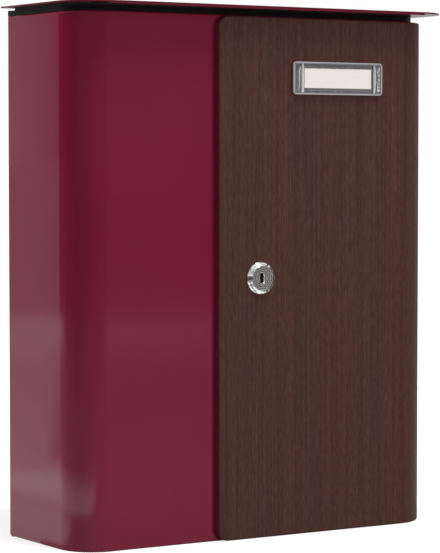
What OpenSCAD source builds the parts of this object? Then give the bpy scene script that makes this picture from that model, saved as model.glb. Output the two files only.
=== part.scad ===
// Wall letter box: a folded steel body, letters go in at the top under a hinged lid,
// and come out through a locking door that wraps round the right front corner.
// X runs to the right, Y into the wall and Z up. The origin is the middle of the four
// wall holes, on the face that lies on the wall.

/* [Body] */
// Width of the body
body_w = 318; // [300:1:380]
// Height of the body
body_h = 400; // [370:1:480]
// Depth of the body from the wall to its front
body_d = 110; // [106:1:150]
// Outer radius of the two front corners
corner_r = 28; // [22:1:34]
// Thickness of the steel sheet
sheet_t = 1; // [0.8:0.1:1.2]
// Outer radius of the folded edges
bend_r = 1.6; // [1.4:0.1:2]
// Width of the folds along the top and bottom edges
edge_fold = 10; // [9:1:12]
// Width of the folds that lie on the wall
rear_fold = 14; // [12:1:18]
// Outer radius of the bends onto the wall
rear_bend_r = 3; // [2.5:0.5:4]
// Radius of the side's upper rear corner
rear_top_r = 4; // [2:0.5:6]
// Radius of the side's lower rear corner
rear_bottom_r = 7; // [4:0.5:9]
// Clearance between sheet parts that slip into each other
sheet_gap = 0.3; // [0.2:0.1:0.5]

/* [Door opening] */
// Width of body front that the door's free edge laps over
strike_lap = 14; // [10:0.5:17]
// Flat land between the opening and the right front corner
opening_land = 4; // [3:0.5:8]
// Height of body front left above the opening
opening_top = 36; // [30:1:60]
// Height of body front left below the opening
opening_bottom = 30; // [20:1:60]
// Depth of the folds round the opening
opening_fold = 8; // [6:0.5:9]
// Corner relief at the ends of those folds
fold_relief = 3; // [2:0.5:5]

/* [Wall holes] */
// Distance between the wall holes, side to side
wall_hole_dx = 240; // [180:1:250]
// Distance between the wall holes, up and down
wall_hole_dz = 300; // [220:1:320]
// Diameter of the wall holes
wall_hole_d = 6; // [5:0.5:8]
// Diameter of the drain holes in the floor
drain_d = 5; // [3:0.5:7]
// Distance between the drain holes, side to side
drain_dx = 230; // [150:1:250]
// Distance between the drain holes, front to back
drain_dy = 60; // [40:1:70]

/* [Inlet frame] */
// Width of the letter inlet
inlet_w = 256; // [230:1:260]
// Depth of the letter inlet, front to back
inlet_d = 35; // [30:1:38]
// Distance from the body front to the inlet
inlet_setback = 16; // [15:1:20]
// Height of the guide walls below the inlet
inlet_guide = 14; // [8:1:20]
// Thickness of the frame's lip on the body edge
lip_t = 1; // [0.8:0.1:1.2]
// Set-in of the frame from the body's outer face
rim_inset = 0.6; // [0.3:0.1:1]
// Thickness of the rim that stands up round the frame
rim_t = 2.2; // [1.8:0.1:2.6]
// Depth of the skirt that reaches into the body
skirt_h = 9; // [6:0.5:14]
// Wall thickness of the skirt and the inlet guide
frame_wall = 2; // [1.5:0.1:2.5]
// Thickness of the seal strip on the rim
seal_t = 1.2; // [0.8:0.1:1.6]
// Shank diameter of the frame screws
frame_screw_d = 3; // [2.5:0.1:3.2]
// Head diameter of the frame screws
frame_screw_head_d = 5.4; // [5:0.1:5.6]
// Length of the frame screws under the head
frame_screw_l = 8; // [6:0.5:12]
// Distance from the wall to the two rear frame screws
frame_screw_rear = 26; // [18:1:36]
// Distance from the front corner's bend to the two front frame screws
frame_screw_land = 6; // [4:0.5:12]

/* [Lid] */
// Thickness of the lid sheet
lid_t = 1.2; // [1:0.1:1.4]
// Width of the lid's front edge that is folded flat under it
lid_hem = 5; // [3:0.5:5.5]
// Height of the lid's underside above the body
lid_rise = 5.2; // [4.5:0.1:6]
// Overhang of the lid past the left side of the body
lid_over_left = 10; // [6:0.5:16]
// Overhang of the lid past the right side of the body
lid_over_right = 14.5; // [10:0.5:20]
// Overhang of the lid past the front of the body
lid_over_front = 18; // [14:0.5:26]
// Radius of the lid's front corners
lid_corner_r = 29; // [20:1:36]
// Distance from the wall to the lid's hinge axis
lid_axis_y = 9.8; // [9:0.1:12]
// Diameter of the lid's hinge rod
lid_rod_d = 2; // [1.8:0.1:2.1]
// Width of the frame's hinge ears
ear_w = 5; // [4:0.5:7]
// Distance between the two inner hinge ears
ear_pitch = 100; // [60:1:160]
// Radial play of a hinge pin or rod in what turns on it
hinge_play = 0.06; // [0.03:0.01:0.1]
// Side gap between hinge parts that turn past each other
hinge_gap = 0.4; // [0.3:0.1:0.8]

/* [Door] */
// Width of the door seen from the front
door_w = 205; // [196:1:230]
// Distance that the door stands proud of the body
door_proud = 6; // [5.5:0.5:8]
// Gap between the door's folded edges and the body
door_gap = 0.4; // [0.3:0.1:0.8]
// Distance from the top of the body down to the door
door_top_gap = 1; // [1:0.1:4]
// Distance from the bottom of the body up to the door
door_bottom_gap = 0.3; // [0.2:0.1:3]
// Radius of the door's free corners
door_corner_r = 9; // [6:0.5:12]
// Distance from the wall to the door's hinge axis
door_axis_y = 9; // [8.5:0.5:14]
// Distance that the door reaches behind its hinge axis
door_tail = 1; // [0.5:0.1:1.5]
// Distance from the body's top and bottom to the door hinges
hinge_inset = 45; // [30:1:80]
// Length of one hinge knuckle
knuckle_l = 11; // [8:0.5:16]
// Diameter of the door's hinge pins
hinge_pin_d = 2; // [1.6:0.1:2.2]
// Length of the hinge plates, front to back
leaf_l = 24; // [20:1:30]
// Thickness of the hinge plates
leaf_t = 1; // [0.8:0.1:1.2]
// Shank diameter of the rivets
rivet_d = 3.2; // [3:0.1:4]
// Distance between the two rivets of a bracket
rivet_pitch = 10; // [8:0.5:12]
// Diameter of the rubber buffers
buffer_d = 6.4; // [5:0.1:8]
// Distance from the door's free edge to the buffers
buffer_inset = 7.5; // [6.5:0.1:8.5]
// Distance between the buffers, up and down
buffer_dz = 300; // [150:1:320]

/* [Lock] */
// Distance from the door's free edge to the lock
lock_inset = 37.5; // [34:0.5:44]
// Height of the lock above the bottom of the body
lock_height = 200; // [100:1:240]
// Diameter of the lock's rosette
rosette_d = 25; // [23:0.5:29]
// Height of the rosette in front of the door
rosette_h = 3.2; // [2.5:0.1:4]
// Diameter of the flat face inside the rosette
face_d = 18.4; // [17:0.1:19.5]
// Thread diameter of the lock barrel
barrel_d = 18.4; // [17.5:0.1:19]
// Width of the barrel across its flats
barrel_flat = 16.5; // [15.5:0.1:17]
// Length of the barrel behind the door's face
barrel_l = 16; // [15:0.5:20]
// Diameter of the plug's face
plug_d = 13.6; // [12.5:0.1:14.5]
// Diameter of the plug's shank
plug_shank_d = 12; // [11:0.1:12.4]
// Length of the plug's wide front end behind the face
plug_head_l = 7; // [5:0.5:9]
// Width of the keyway's round-ended mouth
mouth_w = 4; // [3.4:0.1:4.6]
// Depth of that mouth
mouth_l = 3.4; // [2:0.1:5]
// Width of the keyway behind its mouth
keyway_w = 2.4; // [2:0.1:3]
// Height of the keyway
keyway_h = 7.6; // [6:0.1:8.5]
// Depth of the keyway
keyway_l = 12; // [8:0.5:14]
// Side of the ward that guides the key
ward_t = 0.6; // [0.4:0.1:0.8]
// Side of the square that carries the cam
tang_w = 8; // [7:0.1:8.2]
// Play of sliding and turning lock parts
lock_play = 0.05; // [0.02:0.01:0.1]
// Length of the cam from its axis to its tip
cam_l = 36; // [33:0.5:42]
// Width of the cam's arm
cam_w = 14; // [12:0.5:17]
// Thickness of the cam
cam_t = 2; // [1.5:0.1:3]
// Thread diameter of the cam screw
cam_screw_d = 5; // [4:0.5:6]
// Width of the lock nut across its flats
nut_af = 24; // [22.5:0.5:26]
// Thickness of the lock nut
nut_t = 4; // [3:0.5:5]

/* [Name plate] */
// Width of the name plate
plate_w = 84; // [70:0.5:100]
// Height of the name plate
plate_h = 25; // [20:0.5:32]
// Distance from the door's free edge to the plate's centre
plate_inset = 108; // [85:1:115]
// Distance from the top of the body down to the plate's centre
plate_drop = 47; // [35:1:80]
// Corner radius of the name plate
plate_r = 2.5; // [1.5:0.1:4]
// Width of the name plate's rim
plate_rim = 1.6; // [1.2:0.1:2.2]
// Height of the name plate's rim in front of the door
plate_rim_h = 2.6; // [2:0.1:3.5]
// Thickness of the name plate's back
plate_back_t = 1; // [0.8:0.1:1.4]
// Width of the name card
card_w = 63; // [50:0.5:66]
// Height of the name card
card_h = 15; // [12:0.5:17]
// Thickness of the name card
card_t = 0.3; // [0.2:0.1:0.5]
// Height of the clear cover's flat face in front of the door
cover_h = 3.4; // [2.8:0.1:4.5]

/* [Hidden] */
$fn = 72;

maroon = "#691a2f";
wood = "#4a322c";
black = "#1c1816";
zinc = "#a9adb2";
chrome = "#d0d2d4";

cut = 1;
z_top = body_h / 2;
z_bottom = -body_h / 2;
side_x = body_w / 2;
front_y = -body_d;

// Door opening in the body's front
door_left = side_x + door_proud - door_w;
open_left = door_left + strike_lap;
open_right = side_x - corner_r - opening_land;
open_low = z_bottom + opening_bottom;
open_high = z_top - opening_top;
strip_w = 2 * bend_r;

// Back panel
panel_x = side_x - rear_fold - sheet_gap;
panel_edge_x = side_x - rear_bend_r - sheet_gap;

// Inlet frame and seal
rim_top = z_top + lid_rise - seal_t;
deck_inset = edge_fold + sheet_gap;
deck_t = 1.5;
inlet_y = front_y + inlet_setback;
frame_screw_x = side_x - (edge_fold + rim_inset + rim_t) / 2;
frame_screw_y = [frame_screw_rear, body_d - corner_r - frame_screw_land];
frame_screw_head_t = 1.6;

// Lid hinge
lid_low = z_top + lid_rise;
rod_r = lid_rod_d / 2;
curl_r = rod_r + lid_t;
lid_axis_z = lid_low - rod_r;
ear_r = rod_r + 1;
end_ear_x = side_x - rim_inset - rim_t - ear_w / 2 - hinge_gap;
ears = [-end_ear_x, -ear_pitch / 2, ear_pitch / 2, end_ear_x];
seal_end = lid_axis_y + 2;

// Door
door_low = z_bottom + door_bottom_gap;
door_high = z_top - door_top_gap;
door_x = side_x + door_proud;
door_y = front_y - door_proud;
door_fold = door_proud - door_gap;
door_bend = corner_r + door_proud;

// Door hinges
hinge_x = side_x + (door_proud - sheet_t) / 2;
knuckle_r = (door_proud - sheet_t) / 2 - 0.5;
pin_r = hinge_pin_d / 2;
pin_head_r = pin_r + 0.8;
pin_head_t = 0.8;
leaf_y = knuckle_r + 1;
rivet_head_r = rivet_d / 2 + 1.3;
rivet_head_t = 0.9;
rivet_tail_r = rivet_d / 2 + 0.8;
rivet_tail_l = 2.5;
upper_z = z_top - hinge_inset;
lower_z = z_bottom + hinge_inset;

// Lock
lock_x = door_left + lock_inset;
lock_z = z_bottom + lock_height;
face_h = rosette_h - 0.3;
plug_step = face_h - plug_head_l;
tang_top = -barrel_l - 0.2;
tang_low = tang_top - cam_t;
washer_t = 1;
washer_r = cam_screw_d / 2 + 3;
screw_head_r = cam_screw_d / 2 + 2;
screw_head_t = 2.8;
screw_reach = 8;
notch_w = 2.4;

// Name plate
plate_x = door_left + plate_inset;
plate_z = z_top - plate_drop;
cover_play = 0.1;
groove_w = 1.2;
groove_d = 0.7;

// A folded edge in section: the outer corner is at the origin and is rounded, one leg
// runs towards -x and the other towards -y
module rounded_corner(leg_x, leg_y, r) {
    translate([-leg_x, -leg_y])
        square([leg_x - r, leg_y]);
    translate([-r, -leg_y])
        square([r, leg_y - r]);
    translate([-r, -r])
        circle(r);
}

module fold_profile(leg_x, leg_y) {
    difference() {
        rounded_corner(leg_x, leg_y, bend_r);
        translate([-sheet_t, -sheet_t])
            rounded_corner(leg_x, leg_y, bend_r - sheet_t);
    }
}

// A sheet on edge with a fold along its top and its bottom, in section
module channel_profile(fold, low, high) {
    half = (high - low) / 2;
    translate([0, high])
        fold_profile(fold, half);
    translate([0, low])
        mirror([0, 1])
            fold_profile(fold, half);
}

// Carries a section along -y, with its outer face towards +x
module run_back_to_front(length) {
    rotate([90, 0, 0])
        linear_extrude(length)
            children();
}

// Carries a section round a front corner of outer radius r, from -y to +x
module run_corner(r) {
    rotate([0, 0, -90])
        rotate_extrude(angle = 90)
            translate([r, 0])
                children();
}

module both_sides() {
    children();
    mirror([1, 0, 0])
        children();
}

// The body's outline seen from above, set in from its outer face
module body_plan(inset, rear_inset, rear_r = 0.5) {
    r = corner_r - inset;
    x = side_x - inset;
    y0 = front_y + inset;
    y1 = -rear_inset;
    translate([-x + r, y0])
        square([2 * (x - r), y1 - y0]);
    translate([-x, y0 + r])
        square([2 * x, y1 - y0 - r - rear_r]);
    translate([-x + rear_r, y0 + r])
        square([2 * (x - rear_r), y1 - y0 - r]);
    for (side = [-1, 1]) {
        translate([side * (x - r), y0 + r])
            circle(r);
        translate([side * (x - rear_r), y1 - rear_r])
            circle(rear_r);
    }
}

module body_wall() {
    section_start = 2 * rear_bend_r + 1;
    both_sides() {
        translate([side_x, -section_start, 0])
            run_back_to_front(body_d - corner_r - section_start)
                channel_profile(edge_fold, z_bottom, z_top);
        translate([side_x - corner_r, front_y + corner_r, 0])
            run_corner(corner_r)
                channel_profile(edge_fold, z_bottom, z_top);
        translate([side_x, 0, z_bottom])
            linear_extrude(body_h)
                rear_fold_profile(section_start);
    }
    translate([side_x - corner_r, front_y, 0])
        rotate([0, 0, -90])
            run_back_to_front(body_w - 2 * corner_r)
                channel_profile(edge_fold, z_bottom, z_top);
}

module rear_fold_profile(leg_y) {
    difference() {
        rounded_corner(rear_fold, leg_y, rear_bend_r);
        translate([-sheet_t, -sheet_t])
            rounded_corner(rear_fold, leg_y, rear_bend_r - sheet_t);
    }
}

// Rounds the side's rear corners, seen from the side
module rear_corner_cut(r) {
    rotate([90, 0, 90])
        linear_extrude(body_w + 2 * cut, center = true)
            difference() {
                translate([-r, -r])
                    square(r + cut);
                translate([-r, -r])
                    circle(r);
            }
}

// One fold of the door opening along +z: the sheet lies towards -x, the fold towards +y
module opening_strip(length) {
    linear_extrude(length)
        mirror([0, 1])
            fold_profile(strip_w, opening_fold);
}

module opening_folds() {
    width = open_right - open_left - 2 * fold_relief;
    height = open_high - open_low - 2 * fold_relief;
    translate([open_left, front_y, open_low + fold_relief])
        opening_strip(height);
    translate([open_right, front_y, open_low + fold_relief])
        mirror([1, 0, 0])
            opening_strip(height);
    translate([open_right - fold_relief, front_y, open_low])
        rotate([0, -90, 0])
            opening_strip(width);
    translate([open_right - fold_relief, front_y, open_high])
        mirror([0, 0, 1])
            rotate([0, -90, 0])
                opening_strip(width);
}

module opening_cut() {
    depth = sheet_t + 2 * cut;
    width = open_right - open_left;
    height = open_high - open_low;
    translate([open_left, front_y - cut, open_low])
        cube([width, depth, height]);
    translate([open_left - strip_w, front_y - cut, open_low + fold_relief])
        cube([width + 2 * strip_w, depth, height - 2 * fold_relief]);
    translate([open_left + fold_relief, front_y - cut, open_low - strip_w])
        cube([width - 2 * fold_relief, depth, height + 2 * strip_w]);
}

module at_frame_screws() {
    for (side = [-1, 1])
        for (back = frame_screw_y)
            translate([side * frame_screw_x, -back, z_top])
                children();
}

module at_rivets() {
    for (z = [lower_z, upper_z])
        for (row = [-1, 1])
            translate([side_x, -door_axis_y - (leaf_y + leaf_l) / 2 + row * rivet_pitch / 2, z])
                rotate([0, 90, 0])
                    children();
}

module body_shell() {
    color(maroon)
        difference() {
            union() {
                difference() {
                    body_wall();
                    opening_cut();
                }
                opening_folds();
            }
            translate([0, 0, z_top])
                rear_corner_cut(rear_top_r);
            translate([0, 0, z_bottom])
                mirror([0, 0, 1])
                    rear_corner_cut(rear_bottom_r);
            at_frame_screws()
                cylinder(d = frame_screw_d, h = 4 * sheet_t, center = true);
            at_rivets()
                cylinder(d = rivet_d, h = 4 * sheet_t, center = true);
        }
}

module back_panel() {
    edge_low = z_bottom + rear_bottom_r + 1;
    edge_high = z_top - rear_bottom_r - 1;
    color(maroon)
        difference() {
            union() {
                back_sheet();
                for (side = [-1, 1])
                    translate([side * (panel_x - sheet_t + panel_edge_x) / 2, -1.5 * sheet_t,
                               (edge_low + edge_high) / 2])
                        cube([panel_edge_x - panel_x + sheet_t, sheet_t, edge_high - edge_low],
                             center = true);
            }
            for (side = [-1, 1])
                for (level = [-1, 1])
                    translate([side * wall_hole_dx / 2, 0, level * wall_hole_dz / 2])
                        rotate([90, 0, 0])
                            cylinder(d = wall_hole_d, h = 4 * sheet_t, center = true);
        }
}

// The sheet that lies on the wall, folded forwards along its top and bottom
module back_sheet() {
    rotate([0, 0, 90])
        translate([0, panel_x, 0])
            run_back_to_front(2 * panel_x)
                channel_profile(edge_fold, z_bottom, z_top);
}

module floor_panel() {
    flange_h = 12;
    flange_w = 2 * (panel_edge_x - 1);
    level = z_bottom + sheet_t;
    color(maroon)
        difference() {
            union() {
                translate([0, 0, level])
                    linear_extrude(sheet_t)
                        body_plan(bend_r + sheet_gap, rear_bend_r + 1);
                translate([0, -2 * sheet_t, level])
                    rotate([0, 0, 90])
                        translate([0, flange_w / 2, 0])
                            run_back_to_front(flange_w)
                                mirror([0, 1])
                                    fold_profile(rear_bend_r + sheet_t, flange_h);
            }
            for (side = [-1, 1])
                for (row = [-1, 1])
                    translate([side * drain_dx / 2, (front_y + row * drain_dy) / 2, level])
                        cylinder(d = drain_d, h = 4 * sheet_t, center = true);
        }
}

module hinge_ear() {
    rotate([0, 90, 0])
        cylinder(r = ear_r, h = ear_w, center = true);
    translate([-ear_w / 2, -ear_r, z_top - lid_axis_z])
        cube([ear_w, 2 * ear_r, lid_axis_z - z_top]);
}

module inlet_block(grow, low, high) {
    translate([-inlet_w / 2 - grow, inlet_y - grow, low])
        cube([inlet_w + 2 * grow, inlet_d + 2 * grow, high - low]);
}

module top_frame() {
    color(black)
        difference() {
            union() {
                translate([0, 0, z_top])
                    linear_extrude(lip_t)
                        body_plan(rim_inset, rim_inset);
                translate([0, 0, z_top])
                    linear_extrude(rim_top - z_top)
                        difference() {
                            body_plan(rim_inset, rim_inset);
                            body_plan(rim_inset + rim_t, rim_inset + rim_t);
                        }
                translate([0, 0, z_top - deck_t])
                    linear_extrude(deck_t)
                        body_plan(deck_inset, deck_inset);
                translate([0, 0, z_top - skirt_h])
                    linear_extrude(skirt_h)
                        difference() {
                            body_plan(deck_inset, deck_inset);
                            body_plan(deck_inset + frame_wall, deck_inset + frame_wall);
                        }
                inlet_block(frame_wall, z_top - inlet_guide, z_top);
                for (x = ears)
                    translate([x, -lid_axis_y, lid_axis_z])
                        hinge_ear();
            }
            inlet_block(0, z_top - inlet_guide - cut, z_top + lip_t + cut);
            translate([0, -lid_axis_y, lid_axis_z])
                rotate([0, 90, 0])
                    cylinder(r = rod_r, h = body_w, center = true);
            at_frame_screws()
                cylinder(d = frame_screw_d, h = 4 * lip_t, center = true);
        }
}

module rim_seal() {
    color(black)
        translate([0, 0, rim_top])
            linear_extrude(seal_t)
                difference() {
                    body_plan(rim_inset, seal_end);
                    body_plan(rim_inset + rim_t, seal_end - cut);
                }
}

// A pan-head screw along -z, its head's underside at the origin
module cross_screw(shank_d, head_d, head_t, length) {
    slot_w = head_d / 6;
    slot_l = head_d * 0.6;
    difference() {
        union() {
            translate([0, 0, -length])
                cylinder(d = shank_d, h = length);
            cylinder(d = head_d, h = head_t);
        }
        for (turn = [0, 90])
            rotate([0, 0, turn])
                translate([-slot_l / 2, -slot_w / 2, head_t / 2])
                    cube([slot_l, slot_w, head_t]);
    }
}

module frame_screws() {
    color(zinc)
        at_frame_screws()
            translate([0, 0, lip_t])
                cross_screw(frame_screw_d, frame_screw_head_d, frame_screw_head_t,
                            frame_screw_l);
}

module lid_outline() {
    r = lid_corner_r;
    x0 = -side_x - lid_over_left;
    x1 = side_x + lid_over_right;
    y0 = front_y - lid_over_front;
    translate([x0 + r, y0])
        square([x1 - x0 - 2 * r, -lid_axis_y - y0]);
    translate([x0, y0 + r])
        square([x1 - x0, -lid_axis_y - y0 - r]);
    for (x = [x0 + r, x1 - r])
        translate([x, y0 + r])
            circle(r);
}

// The lid's front edge, folded flat under it between the round corners
module lid_fold() {
    x0 = lid_corner_r - side_x - lid_over_left;
    x1 = side_x + lid_over_right - lid_corner_r;
    translate([x0, front_y - lid_over_front, lid_low - lid_t])
        cube([x1 - x0, lid_hem, lid_t]);
}

// The rear edge of the lid, rolled round the hinge rod between two ears
module lid_curl(from, to) {
    start = from + ear_w / 2 + hinge_gap;
    translate([start, -lid_axis_y, lid_axis_z])
        rotate([0, 90, 0])
            cylinder(r = curl_r, h = to - from - ear_w - 2 * hinge_gap);
}

module lid() {
    notch = ear_w + 2 * hinge_gap;
    notch_y = ear_r + hinge_gap + 0.6;
    color(maroon)
        difference() {
            union() {
                translate([0, 0, lid_low])
                    linear_extrude(lid_t)
                        lid_outline();
                lid_fold();
                for (i = [0 : len(ears) - 2])
                    lid_curl(ears[i], ears[i + 1]);
            }
            translate([0, -lid_axis_y, lid_axis_z])
                rotate([0, 90, 0])
                    cylinder(r = rod_r + hinge_play, h = body_w, center = true);
            for (x = ears)
                translate([x - notch / 2, -lid_axis_y - notch_y, lid_low - cut])
                    cube([notch, notch_y + cut, lid_t + 2 * cut]);
        }
}

module lid_hinge_rod() {
    color(zinc)
        translate([0, -lid_axis_y, lid_axis_z])
            rotate([0, 90, 0])
                cylinder(r = rod_r, h = 2 * end_ear_x + ear_w, center = true);
}

// A hinge half about the origin: its plate lies towards +x, flush with x = reach, and its
// knuckle stands on z = gap / 2
module hinge_half(reach, bore_r) {
    difference() {
        union() {
            translate([reach - leaf_t, -leaf_y - leaf_l, -knuckle_l])
                cube([leaf_t, leaf_l, 2 * knuckle_l]);
            translate([reach - leaf_t, -leaf_y, hinge_gap / 2])
                cube([leaf_t, leaf_y, knuckle_l - hinge_gap / 2]);
            translate([0, 0, hinge_gap / 2])
                cylinder(r = knuckle_r, h = knuckle_l - hinge_gap / 2);
        }
        cylinder(r = bore_r, h = 4 * knuckle_l, center = true);
    }
}

module hinge_bracket(z) {
    color(zinc)
        difference() {
            translate([hinge_x, -door_axis_y, z])
                mirror([1, 0, 0])
                    mirror([0, 0, 1])
                        hinge_half(hinge_x - side_x, pin_r);
            at_rivets()
                cylinder(d = rivet_d, h = 4 * leaf_t, center = true);
        }
}

module hinge_leaf(z) {
    color(zinc)
        translate([hinge_x, -door_axis_y, z])
            hinge_half(door_x - sheet_t - hinge_x, pin_r + hinge_play);
}

module hinge_pin(z) {
    color(chrome)
        translate([hinge_x, -door_axis_y, z - knuckle_l]) {
            cylinder(r = pin_r, h = 2 * knuckle_l);
            translate([0, 0, -pin_head_t])
                cylinder(r = pin_head_r, h = pin_head_t);
        }
}

module upper_hinge_bracket() {
    hinge_bracket(upper_z);
}

module lower_hinge_bracket() {
    hinge_bracket(lower_z);
}

module upper_hinge_leaf() {
    hinge_leaf(upper_z);
}

module lower_hinge_leaf() {
    hinge_leaf(lower_z);
}

module upper_hinge_pin() {
    hinge_pin(upper_z);
}

module lower_hinge_pin() {
    hinge_pin(lower_z);
}

module bracket_rivets() {
    color(zinc)
        at_rivets() {
            translate([0, 0, -sheet_t])
                cylinder(d = rivet_d, h = sheet_t + leaf_t);
            translate([0, 0, leaf_t])
                cylinder(r = rivet_head_r, h = rivet_head_t);
            translate([0, 0, -sheet_t - rivet_tail_l])
                cylinder(r = rivet_tail_r, h = rivet_tail_l);
        }
}

// Turns the drawing plane to face the viewer: x stays, y goes up, z comes out of the door
module on_door(x, z) {
    translate([x, door_y, z])
        rotate([90, 0, 0])
            children();
}

module door_corner(turn) {
    rotate([0, 0, turn]) {
        rotate_extrude(angle = 90)
            translate([door_corner_r, 0])
                fold_profile(2 * bend_r, door_fold);
        translate([0, 0, -sheet_t])
            linear_extrude(sheet_t)
                intersection() {
                    circle(door_corner_r - bend_r);
                    square(door_corner_r);
                }
    }
}

module door_free_edge() {
    height = door_high - door_low - 2 * door_corner_r;
    translate([door_left, door_y, door_low + door_corner_r])
        mirror([1, 0, 0])
            linear_extrude(height)
                mirror([0, 1])
                    fold_profile(door_corner_r, door_fold);
    on_door(door_left + door_corner_r, door_high - door_corner_r)
        door_corner(90);
    on_door(door_left + door_corner_r, door_low + door_corner_r)
        door_corner(180);
}

module barrel_section(d, flat) {
    intersection() {
        circle(d = d);
        square([flat, d], center = true);
    }
}

module door() {
    front_l = side_x - corner_r - door_left - door_corner_r;
    leg_l = body_d - corner_r - door_axis_y + door_tail;
    color(wood)
        difference() {
            union() {
                translate([side_x - corner_r, door_y, 0])
                    rotate([0, 0, -90])
                        run_back_to_front(front_l)
                            channel_profile(door_fold, door_low, door_high);
                translate([side_x - corner_r, front_y + corner_r, 0])
                    run_corner(door_bend)
                        channel_profile(door_fold, door_low, door_high);
                translate([door_x, -door_axis_y + door_tail, 0])
                    run_back_to_front(leg_l)
                        channel_profile(door_fold, door_low, door_high);
                door_free_edge();
            }
            translate([side_x, -door_axis_y - leaf_y, door_low - cut])
                cube([door_proud - bend_r, leaf_y + door_tail + cut, body_h]);
            on_door(lock_x, lock_z)
                linear_extrude(4 * sheet_t, center = true)
                    barrel_section(barrel_d + 2 * lock_play, barrel_flat + 2 * lock_play);
        }
}

module door_buffers() {
    reach = door_proud - sheet_t - sheet_gap;
    color(black)
        for (level = [-1, 1])
            translate([door_left + buffer_inset, door_y + sheet_t, level * buffer_dz / 2])
                rotate([-90, 0, 0])
                    cylinder(d = buffer_d, h = reach);
}

module lock_housing() {
    rim_r = rosette_d / 2;
    face_r = face_d / 2;
    band = rim_r - face_r;
    color(chrome)
        on_door(lock_x, lock_z)
            difference() {
                union() {
                    rotate_extrude()
                        polygon([
                            [0, 0],
                            [rim_r, 0],
                            [rim_r, 0.2 * rosette_h],
                            [rim_r - 0.25 * band, 0.5 * rosette_h],
                            [rim_r - 0.5 * band, 0.62 * rosette_h],
                            [rim_r - 0.8 * band, 0.95 * rosette_h],
                            [rim_r - 0.9 * band, rosette_h],
                            [face_r, rosette_h],
                            [face_r, face_h],
                            [0, face_h]
                        ]);
                    translate([0, 0, -barrel_l])
                        linear_extrude(barrel_l)
                            barrel_section(barrel_d, barrel_flat);
                }
                translate([0, 0, -barrel_l - cut])
                    cylinder(d = plug_shank_d + 2 * lock_play, h = barrel_l + face_h);
                translate([0, 0, plug_step])
                    cylinder(d = plug_d + 2 * lock_play, h = plug_head_l + cut);
                for (turn = [60, 180, 300])
                    rotate([0, 0, turn])
                        translate([face_r + 0.3, -notch_w / 2, 0.2 * rosette_h])
                            cube([band, notch_w, rosette_h]);
            }
}

module lock_nut() {
    color(zinc)
        on_door(lock_x, lock_z)
            translate([0, 0, -sheet_t - nut_t])
                difference() {
                    cylinder(d = nut_af / cos(30), h = nut_t, $fn = 6);
                    translate([0, 0, -cut])
                        cylinder(d = barrel_d + 2 * lock_play, h = nut_t + 2 * cut);
                }
}

// A cut of width w with round ends, its lower left corner at the origin
module slot_cut(w, h, depth) {
    translate([w / 2, h / 2, 0])
        linear_extrude(depth)
            slot_section(w, h);
}

module slot_section(w, h) {
    square([w, h - w], center = true);
    for (end = [-1, 1])
        translate([0, end * (h - w) / 2])
            circle(d = w);
}

module slot_chamfer(w, h, rise) {
    for (end = [-1, 1])
        translate([0, end * (h - w) / 2, 0])
            cylinder(r1 = w / 2, r2 = w / 2 + rise, h = rise);
    rotate([90, 0, 0])
        linear_extrude(h - w, center = true)
            polygon([[-w / 2, 0], [w / 2, 0], [w / 2 + rise, rise], [-w / 2 - rise, rise]]);
}

// The keyway's mouth, with a ward left standing on its right side
module keyway_mouth() {
    difference() {
        linear_extrude(mouth_l + cut)
            slot_section(mouth_w, keyway_h);
        translate([mouth_w / 2 - ward_t, -ward_t, -cut])
            cube([mouth_w, ward_t, mouth_l + cut - ward_t]);
    }
}

module lock_plug() {
    chamfer = 0.4;
    color(chrome)
        on_door(lock_x, lock_z)
            difference() {
                union() {
                    translate([0, 0, plug_step + 2 * lock_play])
                        cylinder(d = plug_d, h = plug_head_l - 2 * lock_play);
                    translate([0, 0, tang_top])
                        cylinder(d = plug_shank_d, h = plug_step + 3 * lock_play - tang_top);
                    translate([-tang_w / 2, -tang_w / 2, tang_low])
                        cube([tang_w, tang_w, cam_t + cut]);
                }
                translate([0, 0, face_h - mouth_l])
                    keyway_mouth();
                translate([-mouth_w / 2, -keyway_h / 2, face_h - keyway_l])
                    slot_cut(keyway_w, keyway_h, keyway_l - mouth_l + ward_t);
                translate([0, 0, face_h - chamfer])
                    slot_chamfer(mouth_w, keyway_h, 2 * chamfer);
                translate([0, 0, tang_low - cut])
                    cylinder(d = cam_screw_d, h = screw_reach + cut);
            }
}

module lock_cam() {
    tip_r = 3;
    hub_r = cam_w / 2 + 1.5;
    hole = tang_w + 2 * lock_play;
    color(zinc)
        on_door(lock_x, lock_z)
            translate([0, 0, tang_low])
                linear_extrude(cam_t)
                    difference() {
                        union() {
                            circle(hub_r);
                            translate([-cam_w / 2, -cam_l + tip_r])
                                square([cam_w, cam_l - tip_r]);
                            translate([-cam_w / 2 + tip_r, -cam_l])
                                square([cam_w - 2 * tip_r, cam_l]);
                            for (side = [-1, 1])
                                translate([side * (cam_w / 2 - tip_r), -cam_l + tip_r])
                                    circle(tip_r);
                        }
                        square(hole, center = true);
                    }
}

module cam_washer() {
    color(zinc)
        on_door(lock_x, lock_z)
            translate([0, 0, tang_low - washer_t])
                difference() {
                    cylinder(r = washer_r, h = washer_t);
                    translate([0, 0, -cut])
                        cylinder(d = cam_screw_d + 2 * lock_play, h = washer_t + 2 * cut);
                }
}

module cam_screw() {
    color(zinc)
        on_door(lock_x, lock_z)
            translate([0, 0, tang_low - washer_t])
                mirror([0, 0, 1])
                    cross_screw(cam_screw_d, 2 * screw_head_r, screw_head_t,
                                screw_reach + washer_t - cut);
}

module rounded_plate(w, h, r) {
    square([w - 2 * r, h], center = true);
    square([w, h - 2 * r], center = true);
    for (side = [-1, 1])
        for (level = [-1, 1])
            translate([side * (w / 2 - r), level * (h / 2 - r)])
                circle(r);
}

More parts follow.
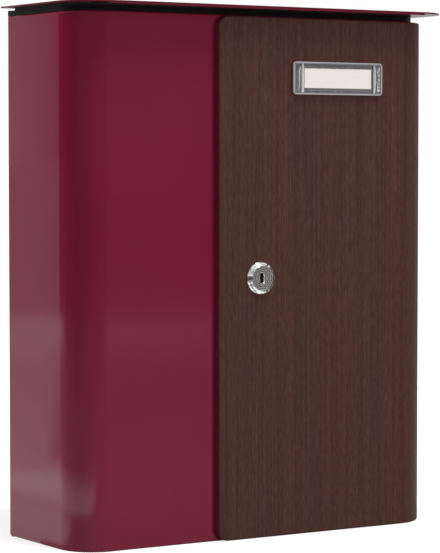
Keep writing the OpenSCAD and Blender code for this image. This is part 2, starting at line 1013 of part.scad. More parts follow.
module name_plate_base() {
    color("#8c8f94")
        on_door(plate_x, plate_z)
            difference() {
                linear_extrude(plate_rim_h)
                    rounded_plate(plate_w, plate_h, plate_r);
                translate([0, 0, plate_back_t])
                    linear_extrude(plate_rim_h)
                        rounded_plate(plate_w - 2 * plate_rim, plate_h - 2 * plate_rim,
                                      plate_r - plate_rim / 2);
            }
}

module name_card() {
    color("#d9d7d2")
        on_door(plate_x, plate_z)
            translate([-card_w / 2, -card_h / 2, plate_back_t])
                cube([card_w, card_h, card_t]);
}

module name_plate_cover() {
    inner_w = plate_w - 2 * plate_rim - 2 * cover_play;
    inner_h = plate_h - 2 * plate_rim - 2 * cover_play;
    low = plate_back_t + card_t;
    step = (inner_w - card_w) / 2;
    slope = 1.6;
    edge_r = plate_r - plate_rim / 2;
    color("#b9bec6")
        on_door(plate_x, plate_z)
            difference() {
                hull() {
                    translate([0, 0, low])
                        linear_extrude(plate_rim_h - low)
                            rounded_plate(inner_w, inner_h, edge_r);
                    translate([0, 0, low])
                        linear_extrude(cover_h - low)
                            rounded_plate(inner_w - 2 * slope, inner_h - 2 * slope, edge_r);
                }
                for (side = [-1, 1])
                    for (line = [0.35, 0.7])
                        translate([side * (card_w / 2 + line * step) - groove_w / 2,
                                   -card_h / 2 - 1, cover_h - groove_d])
                            cube([groove_w, card_h + 2, groove_d + cut]);
            }
}

body_shell();
back_panel();
floor_panel();
top_frame();
rim_seal();
frame_screws();
lid();
lid_hinge_rod();
upper_hinge_bracket();
lower_hinge_bracket();
upper_hinge_pin();
lower_hinge_pin();
bracket_rivets();
door();
upper_hinge_leaf();
lower_hinge_leaf();
door_buffers();
lock_housing();
lock_nut();
lock_plug();
lock_cam();
cam_washer();
cam_screw();
name_plate_base();
name_card();
name_plate_cover();
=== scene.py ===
import math

import bpy
from mathutils import Matrix, Vector


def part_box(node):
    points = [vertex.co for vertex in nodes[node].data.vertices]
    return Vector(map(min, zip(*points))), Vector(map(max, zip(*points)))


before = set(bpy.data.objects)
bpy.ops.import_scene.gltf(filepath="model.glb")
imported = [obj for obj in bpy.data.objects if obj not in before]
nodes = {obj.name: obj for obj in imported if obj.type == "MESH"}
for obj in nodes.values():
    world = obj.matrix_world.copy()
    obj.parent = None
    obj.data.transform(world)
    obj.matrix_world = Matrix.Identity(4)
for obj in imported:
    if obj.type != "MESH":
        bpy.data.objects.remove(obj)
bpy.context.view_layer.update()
scene = bpy.context.scene
print("frame loaded")


# Smooth faces with sharp edges, on a mesh that stays as it is.
shading = {
    "smoothAngle": 24,
    "bevelAngle": 40,
    "bevelSteps": 2,
    "weldDistance": 2e-6,
}


def smoothGroup():
    group = bpy.data.node_groups.new("smoothByAngle", "GeometryNodeTree")
    group.interface.new_socket("Geometry", in_out="INPUT", socket_type="NodeSocketGeometry")
    group.interface.new_socket("Geometry", in_out="OUTPUT", socket_type="NodeSocketGeometry")
    start = group.nodes.new("NodeGroupInput")
    end = group.nodes.new("NodeGroupOutput")
    weld = group.nodes.new("GeometryNodeMergeByDistance")
    weld.inputs["Distance"].default_value = shading["weldDistance"]
    faces = group.nodes.new("GeometryNodeSetShadeSmooth")
    faces.domain = "FACE"
    edges = group.nodes.new("GeometryNodeSetShadeSmooth")
    edges.domain = "EDGE"
    edgeAngle = group.nodes.new("GeometryNodeInputMeshEdgeAngle")
    below = group.nodes.new("FunctionNodeCompare")
    below.data_type = "FLOAT"
    below.operation = "LESS_THAN"
    below.inputs[1].default_value = math.radians(shading["smoothAngle"])
    group.links.new(start.outputs[0], weld.inputs["Geometry"])
    group.links.new(weld.outputs["Geometry"], faces.inputs["Geometry"])
    group.links.new(faces.outputs["Geometry"], edges.inputs["Geometry"])
    group.links.new(edgeAngle.outputs["Unsigned Angle"], below.inputs[0])
    group.links.new(below.outputs["Result"], edges.inputs["Shade Smooth"])
    group.links.new(edges.outputs["Geometry"], end.inputs[0])
    return group


smoothNodes = smoothGroup()


def smooth(obj, bevel):
    if bevel:
        weld = obj.modifiers.new("weld", "WELD")
        weld.merge_threshold = shading["weldDistance"]
        edge = obj.modifiers.new("edge", "BEVEL")
        edge.width = bevel
        edge.segments = shading["bevelSteps"]
        edge.limit_method = "ANGLE"
        edge.angle_limit = math.radians(shading["bevelAngle"])
    modifier = obj.modifiers.new("smooth", "NODES")
    modifier.node_group = smoothNodes
    flat = obj.modifiers.new("flatFaces", "WEIGHTED_NORMAL")
    flat.keep_sharp = True


def paint(material, *names, bevel=0.0):
    for name in names:
        node = nodes[name]
        node.data.materials.clear()
        node.data.materials.append(material)
        smooth(node, bevel)


def middleOf(name):
    low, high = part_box(name)
    return (low + high) / 2


# Short calls for the nodes that the materials and the world share.
class NodeTree:
    def __init__(self, tree):
        self.tree = tree

    def add(self, kind, **values):
        node = self.tree.nodes.new(kind)
        for key, value in values.items():
            setattr(node, key, value)
        return node

    def link(self, source, target):
        self.tree.links.new(source, target)

    def feed(self, socket, source):
        if isinstance(source, (float, tuple)):
            socket.default_value = source
        else:
            self.link(source, socket)

    def maths(self, operation, *sources):
        node = self.add("ShaderNodeMath", operation=operation)
        for socket, source in zip(node.inputs, sources):
            self.feed(socket, source)
        return node.outputs[0]

    def largest(self, first, *others):
        for other in others:
            first = self.maths("MAXIMUM", first, other)
        return first

    def product(self, first, *others):
        for other in others:
            first = self.maths("MULTIPLY", first, other)
        return first

    def vector(self, operation, *sources):
        node = self.add("ShaderNodeVectorMath", operation=operation)
        for socket, source in zip(node.inputs, sources):
            self.feed(socket, source)
        return node.outputs["Value" if operation in ("LENGTH", "DOT_PRODUCT") else "Vector"]

    def split(self, source):
        node = self.add("ShaderNodeSeparateXYZ")
        self.link(source, node.inputs[0])
        return node.outputs["X"], node.outputs["Y"], node.outputs["Z"]

    def moved(self, source, location=(0, 0, 0), scale=(1, 1, 1)):
        node = self.add("ShaderNodeMapping")
        node.inputs["Location"].default_value = location
        node.inputs["Scale"].default_value = scale
        self.link(source, node.inputs["Vector"])
        return node.outputs["Vector"]

    def ramp(self, factor, low, high, fromLow=0.3, fromHigh=0.7):
        node = self.add("ShaderNodeMapRange")
        node.inputs["From Min"].default_value = fromLow
        node.inputs["From Max"].default_value = fromHigh
        node.inputs["To Min"].default_value = low
        node.inputs["To Max"].default_value = high
        self.link(factor, node.inputs["Value"])
        return node.outputs["Result"]


class Shader(NodeTree):
    def __init__(self, name):
        self.material = bpy.data.materials.new(name)
        self.material.use_nodes = True
        super().__init__(self.material.node_tree)
        self.surface = self.tree.nodes["Principled BSDF"]
        coordinates = self.add("ShaderNodeTexCoord")
        self.place = coordinates.outputs["Object"]
        self.normal = coordinates.outputs["Normal"]

    def noise(self, scale, detail, stretch=(1, 1, 1), rough=0.5):
        node = self.add("ShaderNodeTexNoise")
        node.inputs["Scale"].default_value = scale
        node.inputs["Detail"].default_value = detail
        node.inputs["Roughness"].default_value = rough
        self.link(self.moved(self.place, scale=stretch), node.inputs["Vector"])
        return node.outputs["Fac"]

    def colours(self, factor, stops, steps="LINEAR"):
        node = self.add("ShaderNodeValToRGB")
        node.color_ramp.interpolation = steps
        elements = node.color_ramp.elements
        while len(elements) < len(stops):
            elements.new(0.5)
        for element, (position, colour) in zip(elements, stops):
            element.position = position
            element.color = (*colour, 1)
        self.link(factor, node.inputs["Fac"])
        return node.outputs["Color"]

    def grey(self, value):
        node = self.add("ShaderNodeCombineColor")
        for socket in ("Red", "Green", "Blue"):
            self.link(value, node.inputs[socket])
        return node.outputs["Color"]

    # In a Mix node 0 is the factor, 2 and 3 are its numbers, 6 and 7 its colours.
    def between(self, factor, first, second):
        node = self.add("ShaderNodeMix", data_type="FLOAT")
        self.feed(node.inputs[0], factor)
        self.feed(node.inputs[2], first)
        self.feed(node.inputs[3], second)
        return node.outputs[0]

    def blend(self, factor, first, second, kind="MIX"):
        node = self.add("ShaderNodeMix", data_type="RGBA", blend_type=kind)
        self.feed(node.inputs[0], factor)
        self.link(first, node.inputs[6])
        if isinstance(second, tuple):
            second = (*second, 1)
        self.feed(node.inputs[7], second)
        return node.outputs[2]

    def bump(self, height, distance):
        node = self.add("ShaderNodeBump")
        node.inputs["Strength"].default_value = 1.0
        node.inputs["Distance"].default_value = distance
        self.link(height, node.inputs["Height"])
        return node.outputs["Normal"]

    def finish(self, **values):
        for name, value in values.items():
            socket = self.surface.inputs[name.replace("_", " ")]
            if isinstance(value, tuple):
                value = (*value, 1)
            self.feed(socket, value)
        return self.material


# Wine red lacquer on the sheet metal
lacquer = {
    "colour": (0.146, 0.0082, 0.0275),
    "worn": (0.138, 0.0074, 0.0255),
    # darker colours that paint shade on the lid's cut and folded edges
    "shadedEdgeColour": (0.090, 0.0085, 0.0195),
    "shadedEdgeWorn": (0.082, 0.0078, 0.0180),
    "levelFrom": (0.5, 0.9),
    "cloudScale": 9.0,
    "fineScale": 2600.0,
    "peelScale": 420.0,
    "smooth": 0.05,
    "rough": 0.09,
    "orangePeel": 0.00001,
}


def lacquerColour(shader, worn="worn", colour="colour"):
    cloud = shader.noise(lacquer["cloudScale"], 3.0)
    return shader.colours(cloud, [(0.35, lacquer[worn]), (0.65, lacquer[colour])])


def lacquered(shader, colour):
    fine = shader.noise(lacquer["fineScale"], 2.0)
    peel = shader.noise(lacquer["peelScale"], 2.0)
    return shader.finish(
        Base_Color=colour,
        Roughness=shader.ramp(fine, lacquer["smooth"], lacquer["rough"]),
        IOR=1.5,
        Normal=shader.bump(peel, lacquer["orangePeel"]),
    )


wine = Shader("wineLacquer")
wineMaterial = lacquered(wine, lacquerColour(wine))

# Painted shade: the lid's colour is darker on its cut and folded edges, the faces that point neither up
# nor down.
lidShader = Shader("lidLacquer")
_, _, upward = lidShader.split(lidShader.normal)
unshadedFaces = lidShader.ramp(lidShader.maths("ABSOLUTE", upward), 0.0, 1.0, *lacquer["levelFrom"])
paintedEdgeShade = lacquerColour(lidShader, "shadedEdgeWorn", "shadedEdgeColour")
lidColour = lidShader.blend(unshadedFaces, paintedEdgeShade, lacquerColour(lidShader))
lidMaterial = lacquered(lidShader, lidColour)

# Brown wood-grain film on the door: long fibres, short dashes and wide bands
film = {
    "reddish": (0.0580, 0.0213, 0.0167),
    "middle": (0.0552, 0.0223, 0.0170),
    "greenish": (0.0522, 0.0230, 0.0167),
    "purplish": (0.0535, 0.0208, 0.0182),
    "purpleShare": 0.6,
    "fibreScale": (640, 640, 4.2),
    "fibreTones": (0.81, 1.19),
    "dashScale": (700, 700, 150),
    "dashTones": (0.80, 1.20),
    "bandScale": (62, 62, 1.6),
    "purpleScale": (48, 48, 5.5),
    "smooth": 0.42,
    "rough": 0.51,
    "gloss": 0.15,
    "grainDepth": 0.00001,
    "cornerRadius": 0.034,
    "wrap": 0.0016,
    "fade": 0.0002,
    "facingFrom": (0.1, 0.2),
}
wood = Shader("brownGrain")
fibre = wood.noise(1.0, 2.0, film["fibreScale"], 0.6)
dash = wood.noise(1.0, 1.5, film["dashScale"], 0.5)
band = wood.noise(1.0, 1.0, film["bandScale"], 0.4)
purple = wood.noise(1.0, 1.0, film["purpleScale"], 0.4)
hueStops = [(0.36, film["greenish"]), (0.5, film["middle"]), (0.64, film["reddish"])]
purpleHere = wood.ramp(purple, 0.0, film["purpleShare"], 0.56, 0.68)
hue = wood.blend(purpleHere, wood.colours(band, hueStops), film["purplish"])
fibreTone = wood.grey(wood.ramp(fibre, *film["fibreTones"], 0.32, 0.68))
dashTone = wood.grey(wood.ramp(dash, *film["dashTones"]))
grain = wood.blend(1.0, hue, fibreTone, "MULTIPLY")
grain = wood.blend(1.0, grain, dashTone, "MULTIPLY")

# The film covers only the outside of the door: its face, its round corner and their edges.
doorLow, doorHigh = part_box("door")
cornerX = doorHigh.x - film["cornerRadius"]
cornerY = doorLow.y + film["cornerRadius"]
fromCorner = wood.moved(wood.place, (-cornerX, cornerY, 0), (1, -1, 0))
past = wood.vector("MAXIMUM", fromCorner, (0, 0, 0))
outward = wood.vector("NORMALIZE", past)
facing = wood.vector("MULTIPLY", wood.normal, (1, -1, 0))
facing = wood.vector("DOT_PRODUCT", facing, outward)
skinFrom = film["cornerRadius"] - film["wrap"]
onSkin = wood.ramp(wood.vector("LENGTH", past), 0.0, 1.0, skinFrom, skinFrom + film["fade"])
covered = wood.product(onSkin, wood.ramp(facing, 0.0, 1.0, *film["facingFrom"]))
woodMaterial = wood.finish(
    Base_Color=wood.blend(covered, lacquerColour(wood), grain),
    Roughness=wood.ramp(dash, film["rough"], film["smooth"]),
    IOR=1.48,
    Specular_IOR_Level=film["gloss"],
    Normal=wood.bump(fibre, film["grainDepth"]),
)


# Moulded black plastic and rubber
moulded = {"speckScale": 1500.0, "cloudScale": 60.0}


def mouldedPlastic(name, values):
    shader = Shader(name)
    speck = shader.noise(moulded["speckScale"], 2.0)
    cloud = shader.noise(moulded["cloudScale"], 2.0)
    return shader.finish(
        Base_Color=shader.colours(cloud, [(0.35, values["colour"]), (0.65, values["second"])]),
        Roughness=shader.ramp(speck, values["smooth"], values["rough"]),
        IOR=1.47,
        Specular_IOR_Level=values["gloss"],
        Normal=shader.bump(speck, values["texture"]),
    )


frameBlack = {
    "colour": (0.0052, 0.0030, 0.0031),
    "second": (0.0070, 0.0042, 0.0044),
    "smooth": 0.45,
    "rough": 0.55,
    "gloss": 0.16,
    "texture": 0.00001,
}
sealBlack = {
    "colour": (0.010, 0.010, 0.011),
    "second": (0.014, 0.014, 0.014),
    "smooth": 0.70,
    "rough": 0.80,
    "gloss": 0.30,
    "texture": 0.00002,
}
plasticMaterial = mouldedPlastic("blackPlastic", frameBlack)
rubberMaterial = mouldedPlastic("blackRubber", sealBlack)

# The name plate's base: a grey rim with a painted highlight along its outer edge, and a dark ground with
# painted highlight and painted shade stripes at the ends, for the clear cover's stepped ends.
plate = {
    # painted highlight: the pale colour along the rim's outer edge
    "edge": (0.38, 0.36, 0.37),
    "rim": (0.17, 0.165, 0.18),
    "ground": (0.060, 0.056, 0.062),
    # painted shade and painted highlight stripes at the plate's ends
    "dark": (0.008, 0.008, 0.009),
    "light": (0.50, 0.49, 0.52),
    "smooth": 0.12,
    "rough": 0.20,
    "speckScale": 1500.0,
    "speckDepth": 0.000003,
    "edgeWidth": 0.0007,
    "edgeFade": 0.0001,
    "groundDepth": 0.0013,
    "groundFade": 0.0002,
}
# Where each colour starts, from left to right: millimetres past the card's end, negative on the left
# painted highlight and painted shade stripes for the clear cover's stepped ends
ribLightAndShade = [
    (-6.0, "ground"),
    (-3.4, "dark"),
    (-2.4, "light"),
    (-0.6, "ground"),
    (0.8, "dark"),
    (2.6, "light"),
    (4.0, "dark"),
    (5.6, "ground"),
]
plateLow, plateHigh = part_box("name_plate_base")
plateHalf = (plateHigh - plateLow) / 2
cardLow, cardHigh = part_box("name_card")
cardHalf = (cardHigh.x - cardLow.x) / 2


def ribLightAndShadeStops():
    stops = [(0.0, plate["ground"])]
    for offset, colour in ribLightAndShade:
        place = math.copysign(cardHalf + abs(offset) / 1000, offset)
        stops.append(((place + plateHalf.x) / (2 * plateHalf.x), plate[colour]))
    return stops


base = Shader("plateBase")
fromMiddle = base.moved(base.place, -middleOf("name_plate_base"))
across, inward, _ = base.split(fromMiddle)
edgeFrom = (plateHalf.x - plate["edgeWidth"], 0, plateHalf.z - plate["edgeWidth"])
fromEdge = base.vector("SUBTRACT", base.vector("ABSOLUTE", fromMiddle), edgeFrom)
pastSide, _, pastTop = base.split(fromEdge)
edgeFade = plate["edgeFade"]
# painted highlight along the rim's outer edge
paintedHighlightEdge = base.ramp(base.largest(pastSide, pastTop), 0.0, 1.0, -edgeFade, edgeFade)
rimAndPaintedHighlight = base.colours(paintedHighlightEdge, [(0.0, plate["rim"]), (1.0, plate["edge"])])
groundFrom = plate["groundDepth"] - plateHalf.y
onGround = base.ramp(inward, 0.0, 1.0, groundFrom - plate["groundFade"], groundFrom)
ribPlace = base.ramp(across, 0.0, 1.0, -plateHalf.x, plateHalf.x)
plateSpeck = base.noise(plate["speckScale"], 2.0)
plateMaterial = base.finish(
    Base_Color=base.blend(onGround, rimAndPaintedHighlight, base.colours(ribPlace, ribLightAndShadeStops(), "CONSTANT")),
    Roughness=base.ramp(plateSpeck, plate["smooth"], plate["rough"]),
    IOR=1.49,
    Normal=base.bump(plateSpeck, plate["speckDepth"]),
)

# The zinc of the hinges, the screws and the cam
zinc = {
    "colour": (0.62, 0.62, 0.60),
    "second": (0.70, 0.70, 0.69),
    "cloudScale": 160.0,
    "scratchScale": (900, 900, 900),
    "smooth": 0.28,
    "rough": 0.40,
    "scratchDepth": 0.000006,
}
steel = Shader("zincSteel")
zincCloud = steel.noise(zinc["cloudScale"], 3.0)
scratch = steel.noise(1.0, 2.0, zinc["scratchScale"])
zincMaterial = steel.finish(
    Base_Color=steel.colours(zincCloud, [(0.3, zinc["colour"]), (0.7, zinc["second"])]),
    Metallic=1.0,
    Roughness=steel.ramp(scratch, zinc["smooth"], zinc["rough"]),
    Normal=steel.bump(scratch, zinc["scratchDepth"]),
)

# The lock: chrome, and a turned face with rings about the axis of the plug, whose grooves are painted
# darker as painted shade.
turned = {
    "faceRadius": 0.0092,
    "face": (0.54, 0.53, 0.52),
    # painted shade in the grooves of the turned rings
    "faceGrooveShade": (0.21, 0.205, 0.20),
    "faceSmooth": 0.22,
    "faceRough": 0.36,
    "satin": 0.25,
    "rim": (0.95, 0.95, 0.95),
    "rimDark": (0.86, 0.86, 0.87),
    "rimSmooth": 0.06,
    "rimRough": 0.10,
    "wearScale": 900.0,
    "ringPitch": 0.0014,
    "ringDepth": 0.00002,
    "wobbleScale": 500.0,
    "wobble": 1.2,
    # painted shade and a painted highlight in the keyway's mouth
    "slotShade": (0.003, 0.003, 0.003),
    "slotLight": (0.98, 0.98, 0.97),
    "slotRadius": 0.0041,
    "slotDepth": 0.0002,
    "slotLightDepth": 0.0019,
    "wallFrom": (-0.5, -0.3),
    "fade": 0.0001,
}
fade = turned["fade"]
lock = Shader("turnedChrome")
axis = middleOf("lock_housing")
radius = lock.vector("LENGTH", lock.moved(lock.place, (-axis.x, 0, -axis.z), (1, 0, 1)))
faceEnd = turned["faceRadius"]
onRim = lock.ramp(radius, 0.0, 1.0, faceEnd, faceEnd + fade)
ringTurns = lock.product(radius, 2 * math.pi / turned["ringPitch"])
wobble = lock.noise(turned["wobbleScale"], 2.0)
wobble = lock.ramp(wobble, -turned["wobble"], turned["wobble"])
ringWave = lock.maths("SINE", lock.maths("ADD", ringTurns, wobble))
ringHeight = lock.ramp(ringWave, 0.0, 1.0, -1.0, 1.0)
wear = lock.noise(turned["wearScale"], 3.0)
# painted shade: the face is darker in the grooves of its rings
faceRingShade = lock.colours(ringHeight, [(0.15, turned["faceGrooveShade"]), (0.85, turned["face"])])
chromeColour = lock.colours(wear, [(0.3, turned["rimDark"]), (0.7, turned["rim"])])
faceFinish = lock.ramp(ringHeight, turned["faceSmooth"], turned["faceRough"])
chromeFinish = lock.ramp(wear, turned["rimSmooth"], turned["rimRough"])

# The keyway's mouth: a painted highlight on its right wall near the face, and painted shade on the rest.
_, deep, _ = lock.split(lock.place)
towardsRight, _, _ = lock.split(lock.normal)
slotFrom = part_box("lock_plug")[0].y + turned["slotDepth"]
lightTo = slotFrom + turned["slotLightDepth"]
slotEnd = turned["slotRadius"]
inSlot = lock.product(
    lock.ramp(radius, 1.0, 0.0, slotEnd - fade, slotEnd),
    lock.ramp(deep, 0.0, 1.0, slotFrom, slotFrom + fade),
)
lightWall = lock.product(
    lock.ramp(towardsRight, 1.0, 0.0, *turned["wallFrom"]),
    lock.ramp(deep, 1.0, 0.0, lightTo - fade, lightTo),
)
slotColour = lock.colours(lightWall, [(0.0, turned["slotShade"]), (1.0, turned["slotLight"])])
metalColour = lock.blend(onRim, faceRingShade, chromeColour)
satin = lock.ramp(onRim, turned["satin"], 0.0, 0.0, 1.0)
lockMaterial = lock.finish(
    Base_Color=lock.blend(inSlot, metalColour, slotColour),
    Metallic=lock.maths("SUBTRACT", 1.0, lock.largest(inSlot, satin)),
    Roughness=lock.between(onRim, faceFinish, chromeFinish),
    Normal=lock.bump(lock.between(onRim, ringHeight, 0.5), turned["ringDepth"]),
)

# The clear cover lets light straight through to the card.
cover = {
    "colour": (0.95, 0.945, 0.94),
    "smooth": 0.04,
    "rough": 0.08,
    "smearScale": 300.0,
    "waveScale": 90.0,
    "waveDepth": 0.000004,
}
clear = Shader("clearPlastic")
clearMaterial = clear.finish(
    Base_Color=cover["colour"],
    Roughness=clear.ramp(clear.noise(cover["smearScale"], 3.0), cover["smooth"], cover["rough"]),
    IOR=1.49,
    Transmission_Weight=1.0,
    Normal=clear.bump(clear.noise(cover["waveScale"], 1.0), cover["waveDepth"]),
)
passing = clear.add("ShaderNodeBsdfTransparent")
passing.inputs["Color"].default_value = (*cover["colour"], 1)
rayKind = clear.add("ShaderNodeLightPath").outputs
either = clear.add("ShaderNodeMixShader")
unseen = clear.largest(rayKind["Is Shadow Ray"], rayKind["Is Diffuse Ray"])
clear.link(unseen, either.inputs["Fac"])
clear.link(clear.surface.outputs["BSDF"], either.inputs[1])
clear.link(passing.outputs["BSDF"], either.inputs[2])
clear.link(either.outputs["Shader"], clear.tree.nodes["Material Output"].inputs["Surface"])

card = {
    "colour": (0.81, 0.785, 0.745),
    "second": (0.77, 0.745, 0.705),
    "roughness": 0.85,
    "pulpScale": 1800.0,
    "pulpDepth": 0.00001,
}
paper = Shader("whiteCard")
pulp = paper.noise(card["pulpScale"], 4.0)
paperMaterial = paper.finish(
    Base_Color=paper.colours(pulp, [(0.3, card["second"]), (0.7, card["colour"])]),
    Roughness=card["roughness"],
    Normal=paper.bump(pulp, card["pulpDepth"]),
)

bevels = {"lid": 0.0003, "rosette": 0.00025, "plate": 0.0005, "cover": 0.0002}
paint(wineMaterial, "body_shell", "back_panel", "floor_panel")
paint(lidMaterial, "lid", bevel=bevels["lid"])
paint(woodMaterial, "door")
paint(plasticMaterial, "top_frame")
paint(rubberMaterial, "rim_seal", "door_buffers")
paint(
    zincMaterial,
    "frame_screws",
    "lid_hinge_rod",
    "upper_hinge_bracket",
    "lower_hinge_bracket",
    "upper_hinge_pin",
    "lower_hinge_pin",
    "bracket_rivets",
    "upper_hinge_leaf",
    "lower_hinge_leaf",
    "lock_nut",
    "lock_cam",
    "cam_washer",
    "cam_screw",
)
paint(lockMaterial, "lock_housing", bevel=bevels["rosette"])
paint(lockMaterial, "lock_plug")
paint(plateMaterial, "name_plate_base", bevel=bevels["plate"])
paint(paperMaterial, "name_card")
paint(clearMaterial, "name_plate_cover", bevel=bevels["cover"])
print("materials done")


screens = {"slant": 0.6, "rightFrom": (0.80, 1.05)}


# What stands round the object, by direction: white behind it and to its right.
def surround(tree, direction, behind, right, behindFrom):
    x, y, _ = tree.split(direction)
    toRight = tree.maths("MULTIPLY_ADD", y, screens["slant"], x)
    return tree.largest(
        tree.ramp(y, 0.0, behind, *behindFrom),
        tree.ramp(toRight, 0.0, right, *screens["rightFrom"]),
    )


# The floor: the camera sees it pale, and glossy faces see it by where it lies.
# Each pair ending in From holds the place or distance, in metres, where a light starts and ends.
ground = {
    "size": 120.0,
    "height": -0.2,
    "colour": (0.5, 0.5, 0.5),
    "mirrored": (0.12, 0.12, 0.12),
    "lift": 0.62,
    "liftFrom": (0.25, 1.5),
    "smooth": 0.85,
    "rough": 0.95,
    "gloss": 0.2,
    "dustScale": 30.0,
    "dustDepth": 0.00002,
    "centre": (0.16, 0.05, 0),
    "surroundEdge": (0.862, 0.872),
    "behind": (0.70, 0.36),
    "behindFrom": (0.3, 1.5),
    "front": 0.15,
    "frontFrom": (0.3, 1.6),
    "close": 0.95,
    "closeFrom": (0.24, 0.28),
    "leftFrom": (0.45, 0.65),
    "leftXFrom": (-0.3, -0.2),
    "rayFrom": (0.17, 0.21),
    "beside": 0.75,
    "besideFrom": (0.27, 0.42),
    "besideXFrom": (-0.18, -0.16),
    "besideYFrom": (-0.09, -0.05),
}
bpy.ops.mesh.primitive_plane_add(size=ground["size"], location=(0, 0, ground["height"]))
floor = bpy.context.object
floor.name = "floor"
pale = Shader("paleFloor")
path = pale.add("ShaderNodeLightPath").outputs
mirrored = pale.largest(path["Is Glossy Ray"], path["Is Transmission Ray"])
floorX, floorY, _ = pale.split(pale.place)
reach = pale.vector("LENGTH", pale.place)
bearing = pale.vector("NORMALIZE", pale.moved(pale.place, ground["centre"], (1, 1, 0)))
farLight = pale.product(
    surround(pale, bearing, 1.0, 1.0, ground["surroundEdge"]),
    pale.ramp(reach, *ground["behind"], *ground["behindFrom"]),
)
frontLight = pale.ramp(reach, ground["front"], 0.0, *ground["frontFrom"])
leftLight = pale.product(
    pale.ramp(reach, ground["close"], 0.0, *ground["leftFrom"]),
    pale.ramp(floorX, 1.0, 0.0, *ground["leftXFrom"]),
)
closeLight = pale.product(
    pale.largest(pale.ramp(reach, ground["close"], 0.0, *ground["closeFrom"]), leftLight),
    pale.ramp(path["Ray Length"], 0.0, 1.0, *ground["rayFrom"]),
)
besideLight = pale.product(
    pale.ramp(reach, ground["beside"], 0.0, *ground["besideFrom"]),
    pale.ramp(floorX, 1.0, 0.0, *ground["besideXFrom"]),
    pale.ramp(floorY, 0.0, 1.0, *ground["besideYFrom"]),
)
mirroredLight = pale.largest(farLight, frontLight, closeLight, besideLight)
mirroredLight = pale.product(mirroredLight, mirrored)
seenLight = pale.ramp(reach, ground["lift"], 1.0, *ground["liftFrom"])
dust = pale.noise(ground["dustScale"], 3.0)
floorMaterial = pale.finish(
    Base_Color=pale.colours(mirrored, [(0.0, ground["colour"]), (1.0, ground["mirrored"])]),
    Roughness=pale.ramp(dust, ground["smooth"], ground["rough"]),
    Specular_IOR_Level=ground["gloss"],
    Emission_Color=(1.0, 1.0, 1.0),
    Emission_Strength=pale.maths("MULTIPLY_ADD", path["Is Camera Ray"], seenLight, mirroredLight),
    Normal=pale.bump(dust, ground["dustDepth"]),
)
floor.data.materials.append(floorMaterial)

# The world: white to the camera, and a studio of pale screens to the object.
# Each pair ending in From holds the share of a direction where a screen starts and ends.
studio = {
    "behind": 0.41,
    "behindFrom": (0.872, 0.8765),
    "behindLeft": 0.68,
    "behindLeftFrom": (0.878, 0.888),
    "right": 0.62,
    "front": 0.09,
    "frontFrom": (-0.2, 0.5),
    "ceiling": 0.75,
    "ceilingFrom": (0.25, 0.5),
    "left": 0.75,
    "leftFrom": (0.3, 0.55),
    "leftLowFrom": (0.10, 0.14),
    "leftHighFrom": (0.40, 0.55),
    "leftCeiling": 0.5,
}
world = bpy.data.worlds.new("studio")
scene.world = world
world.use_nodes = True
sky = NodeTree(world.node_tree)
direction = sky.add("ShaderNodeTexCoord").outputs["Generated"]
rays = sky.add("ShaderNodeLightPath").outputs
skyX, skyY, skyZ = sky.split(direction)
toFront = sky.maths("MULTIPLY", skyY, -1.0)
toLeft = sky.ramp(sky.maths("MULTIPLY", skyX, -1.0), 0.0, 1.0, *studio["leftFrom"])
ceiling = sky.product(
    sky.ramp(skyZ, 0.0, studio["ceiling"], *studio["ceilingFrom"]),
    sky.maths("MULTIPLY_ADD", toLeft, studio["leftCeiling"] - 1.0, 1.0),
)
leftScreen = sky.maths(
    "SUBTRACT",
    sky.ramp(skyZ, 0.0, studio["left"], *studio["leftLowFrom"]),
    sky.ramp(skyZ, 0.0, studio["left"], *studio["leftHighFrom"]),
)
overhead = sky.largest(ceiling, sky.product(leftScreen, toLeft))
brightness = sky.largest(
    surround(sky, direction, studio["behind"], studio["right"], studio["behindFrom"]),
    sky.ramp(skyY, 0.0, studio["behindLeft"], *studio["behindLeftFrom"]),
    sky.ramp(toFront, 0.0, studio["front"], *studio["frontFrom"]),
    sky.product(overhead, rays["Is Glossy Ray"]),
    rays["Is Camera Ray"],
    rays["Is Transmission Ray"],
)
background = world.node_tree.nodes["Background"]
sky.link(brightness, background.inputs["Strength"])
background.inputs["Color"].default_value = (1, 1, 1, 1)

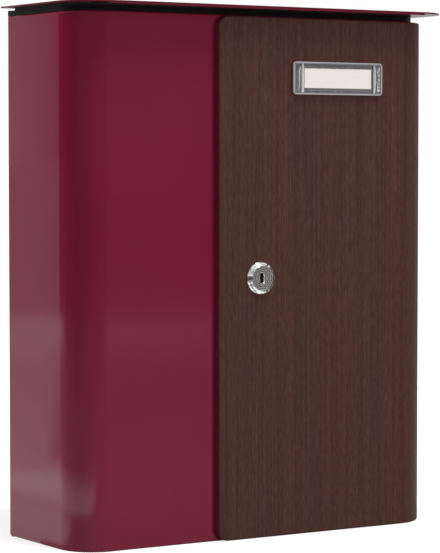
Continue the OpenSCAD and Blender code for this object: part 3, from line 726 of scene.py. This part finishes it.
# Bearing in degrees to the right of the front, lengths in metres. All lamps face the object.
lamps = [
    {"name": "overhead", "bearing": 20, "away": 1.2, "low": 2.3, "high": 3.3, "wide": 0.9, "watts": 84},
    {"name": "frontMid", "bearing": -22, "away": 2.5, "low": 0.8, "high": 1.8, "wide": 1.0, "watts": 9},
    {"name": "frontLow", "bearing": 20, "away": 2.5, "low": -0.2, "high": 0.8, "wide": 1.0, "watts": 25},
    {"name": "leftSide", "bearing": -135, "away": 2.5, "low": -0.1, "high": 1.5, "wide": 1.0, "watts": 78},
    {"name": "leftFront", "bearing": -50, "away": 2.5, "low": -0.1, "high": 1.5, "wide": 1.0, "watts": 7},
]
mirroredLamps = ["overhead"]


def addLamp(name, bearing, away, low, high, wide, watts):
    data = bpy.data.lights.new(name, "AREA")
    data.shape = "RECTANGLE"
    data.size = wide
    data.size_y = high - low
    data.energy = watts
    obj = bpy.data.objects.new(name, data)
    scene.collection.objects.link(obj)
    angle = math.radians(bearing)
    place = Vector((away * math.sin(angle), -away * math.cos(angle), (low + high) / 2))
    obj.location = place
    obj.rotation_euler = (-place).to_track_quat("-Z", "Y").to_euler()
    obj.visible_glossy = name in mirroredLamps
    obj.visible_camera = False


for values in lamps:
    addLamp(**values)

# The camera of the photograph: its place and its axes
view = {
    "lens": 158.99,
    "sensor": 36,
    "farEnd": 100,
    "place": (-1.0325, -1.66877, 0.09299),
    "right": (0.84243498, -0.53879802, 0.0),
    "up": (0.02649867, 0.04143186, 0.99878988),
    "forward": (0.53814601, 0.84141553, -0.04918108),
}
cameraData = bpy.data.cameras.new("photoCamera")
cameraData.lens = view["lens"]
cameraData.sensor_width = view["sensor"]
cameraData.sensor_fit = "AUTO"
cameraData.clip_end = view["farEnd"]
camera = bpy.data.objects.new("photoCamera", cameraData)
scene.collection.objects.link(camera)
axes = Matrix((view["right"], view["up"], [-v for v in view["forward"]])).transposed()
camera.matrix_world = Matrix.Translation(view["place"]) @ axes.to_4x4()
scene.camera = camera
scene.view_settings.view_transform = "Standard"
print("stage and camera done")
